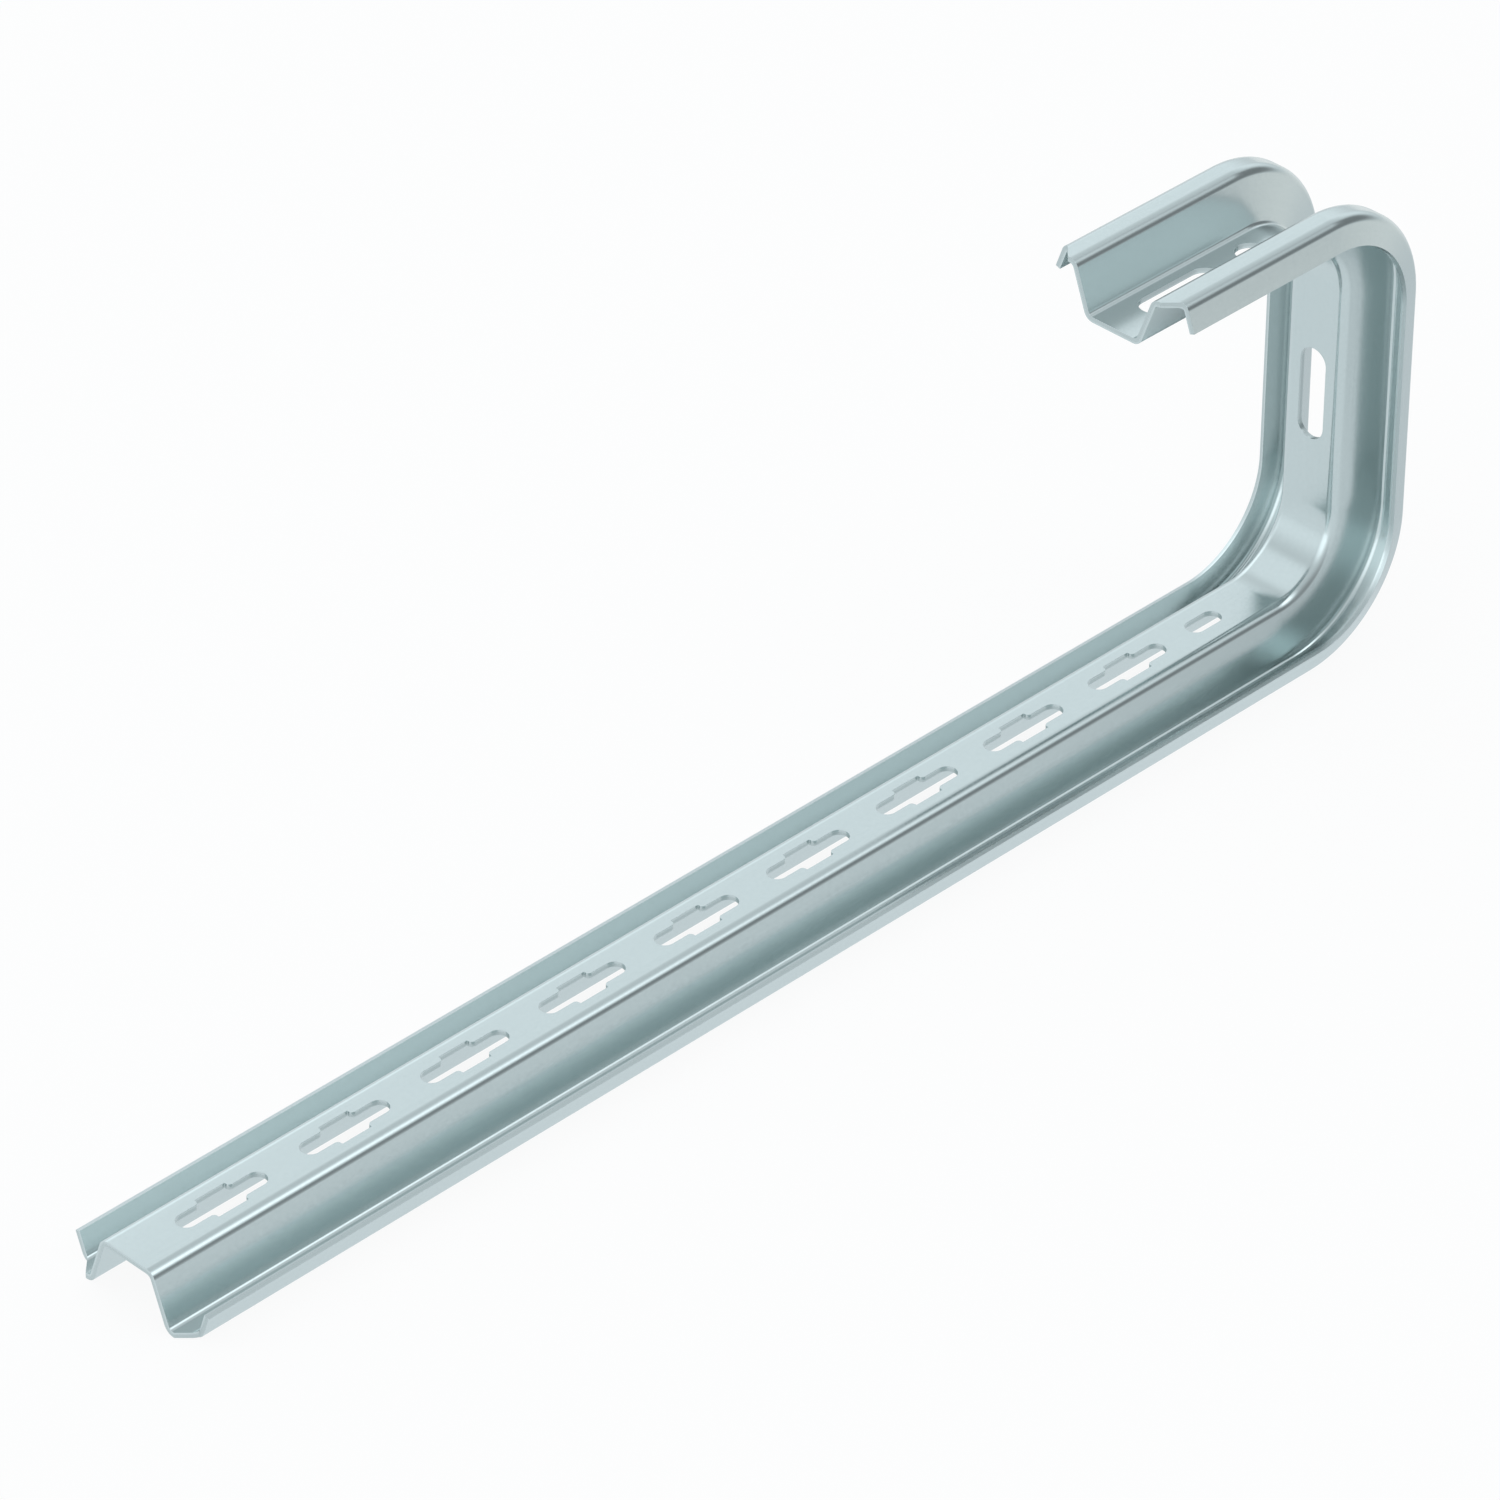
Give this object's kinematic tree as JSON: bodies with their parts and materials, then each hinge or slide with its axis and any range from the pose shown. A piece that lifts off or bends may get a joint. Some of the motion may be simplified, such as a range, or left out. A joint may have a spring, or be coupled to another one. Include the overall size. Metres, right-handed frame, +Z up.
{
  "type": "wall bracket",
  "caption": "C-shaped wall and ceiling bracket bent from slotted hat-section steel: long lower arm, upright leg and short upper arm with fixing slots.",
  "frame": {"origin": "on the wall plane, on the axis of the leg's fixing slot", "axes": "+Z up, +X right, -Y the way the arms point away from the wall"},
  "size_m": [0.06, 0.545, 0.175],
  "materials": {
    "galvanised_steel": "strip galvanised"
  },
  "bodies": {
    "root": {"bracket": "galvanised_steel"}
  },
  "joints": []
}
